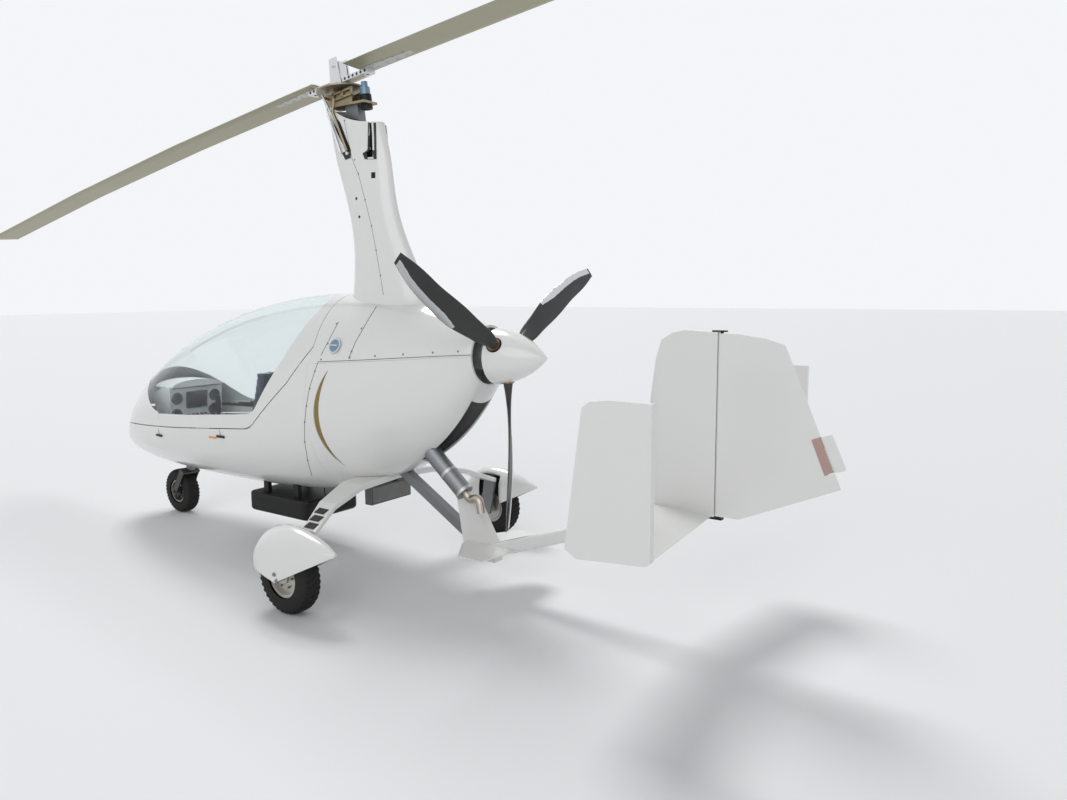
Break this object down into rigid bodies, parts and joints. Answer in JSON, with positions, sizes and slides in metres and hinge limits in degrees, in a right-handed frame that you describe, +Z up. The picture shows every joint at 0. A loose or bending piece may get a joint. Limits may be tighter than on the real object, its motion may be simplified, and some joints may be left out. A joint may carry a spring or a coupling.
{
  "type": "gyroplane",
  "caption": "Enclosed tandem two-seat pusher gyroplane on a tricycle gear, with a side-hinged bubble canopy, teetering rotor and triple-finned tail.",
  "frame": {"origin": "on the ground under the middle of the rotor hub", "axes": "+Z up, nose towards -Y, port side +X"},
  "size_m": [1.7382, 8.3329, 3.0475],
  "materials": {
    "white": "gloss white composite paint",
    "tab_skin": "satin trim sheet",
    "clear_glazing": "clear acrylic",
    "intake_mesh": "fine gold mesh",
    "black_plastic": "textured black",
    "cabin_grey": "satin grey",
    "seat_cloth": "dark blue cloth",
    "cast_alloy": "machined",
    "frame_steel": "brushed",
    "exhaust_steel": "heat-stained steel",
    "cooler_grey": "satin dark grey",
    "fork_black": "powder coat",
    "blade_black": "satin black carbon",
    "blade_alloy": "anodised",
    "tyre": "rubber",
    "cap_blue": "blue-grey enamel"
  },
  "bodies": {
    "airframe": {"belly_pod": "black_plastic", "bulkhead": "cabin_grey", "cabin_floor": "cabin_grey", "canopy_hinges": "frame_steel", "control_sticks": "black_plastic", "cooler": "cooler_grey", "end_fins": "white", "engine_block": "cast_alloy", "engine_mount": "frame_steel", "exhaust_pipe": "exhaust_steel", "filler_cap": "cap_blue", "frame_foot": "frame_steel", "frame_struts": "frame_steel", "front_seat": "seat_cloth", "fuselage_tub": "white", "gear_bow": "white", "grip_pads": "black_plastic", "guard_plates": "white", "instrument_panel": "cabin_grey", "intake_mesh": "intake_mesh", "keel_bracket": "white", "latches": "black_plastic", "lower_cowl": "white", "main_axles": "frame_steel", "mast_fairing": "white", "mast_tube": "frame_steel", "muffler": "exhaust_steel", "pod_hangers": "black_plastic", "pod_lid": "black_plastic", "prerotator": "cap_blue", "push_rods": "frame_steel", "rear_seat": "seat_cloth", "rotor_head": "cast_alloy", "rudder_hinges": "black_plastic", "shoulder_panel": "white", "steering_housing": "frame_steel", "tail_boom": "white", "tail_fin": "white", "tailplane": "white", "upper_cowl": "white", "wheel_spats": "white"},
    "canopy": {"canopy_frame": "white", "canopy_glass": "clear_glazing"},
    "rudder": {"rudder": "white", "trim_tab": "tab_skin"},
    "nose_gear": {"nose_fork": "fork_black"},
    "nose_wheel": {"nose_tyre": "tyre", "nose_rim": "cast_alloy"},
    "left_wheel": {"main_tyre_left": "tyre", "main_rim_left": "cast_alloy"},
    "right_wheel": {"main_tyre_right": "tyre", "main_rim_right": "cast_alloy"},
    "propeller": {"spinner": "white", "propeller_hub": "cast_alloy", "propeller_blades": "blade_black"},
    "rotor_hub": {"gear_ring": "frame_steel", "teeter_tower": "cast_alloy"},
    "rotor": {"hub_bar": "cast_alloy", "rotor_blades": "blade_alloy"}
  },
  "joints": [
    {"name": "canopy_hinge", "type": "hinge", "parent": "airframe", "child": "canopy", "pos_m": [-0.416, -0.73, 0.738], "axis": [0, -1, 0], "range_deg": [0, 80]},
    {"name": "rudder_hinge", "type": "hinge", "parent": "airframe", "child": "rudder", "pos_m": [0, 2.17, 0.95], "axis": [0, 0, 1], "range_deg": [-28, 28]},
    {"name": "nose_steer", "type": "hinge", "parent": "airframe", "child": "nose_gear", "pos_m": [0, -1.735, 0.15], "axis": [0, 0.5468, 0.8372], "range_deg": [-20, 20]},
    {"name": "nose_wheel_spin", "type": "hinge", "parent": "nose_gear", "child": "nose_wheel", "pos_m": [0, -1.735, 0.15], "axis": [1, 0, 0], "continuous": true},
    {"name": "left_wheel_spin", "type": "hinge", "parent": "airframe", "child": "left_wheel", "pos_m": [0.783, 0.375, 0.18], "axis": [1, 0, 0], "continuous": true},
    {"name": "right_wheel_spin", "type": "hinge", "parent": "airframe", "child": "right_wheel", "pos_m": [-0.783, 0.375, 0.18], "axis": [1, 0, 0], "continuous": true},
    {"name": "propeller_spin", "type": "hinge", "parent": "airframe", "child": "propeller", "pos_m": [0, 1.082, 1.185], "axis": [0, 1, 0], "continuous": true},
    {"name": "rotor_spin", "type": "hinge", "parent": "airframe", "child": "rotor_hub", "pos_m": [0, 0, 2.486], "axis": [0, -0.1288, 0.9917], "continuous": true},
    {"name": "rotor_teeter", "type": "hinge", "parent": "rotor_hub", "child": "rotor", "pos_m": [0, -0.02627, 2.6883], "axis": [1, 0, 0], "range_deg": [-8.5, 8.5]}
  ]
}
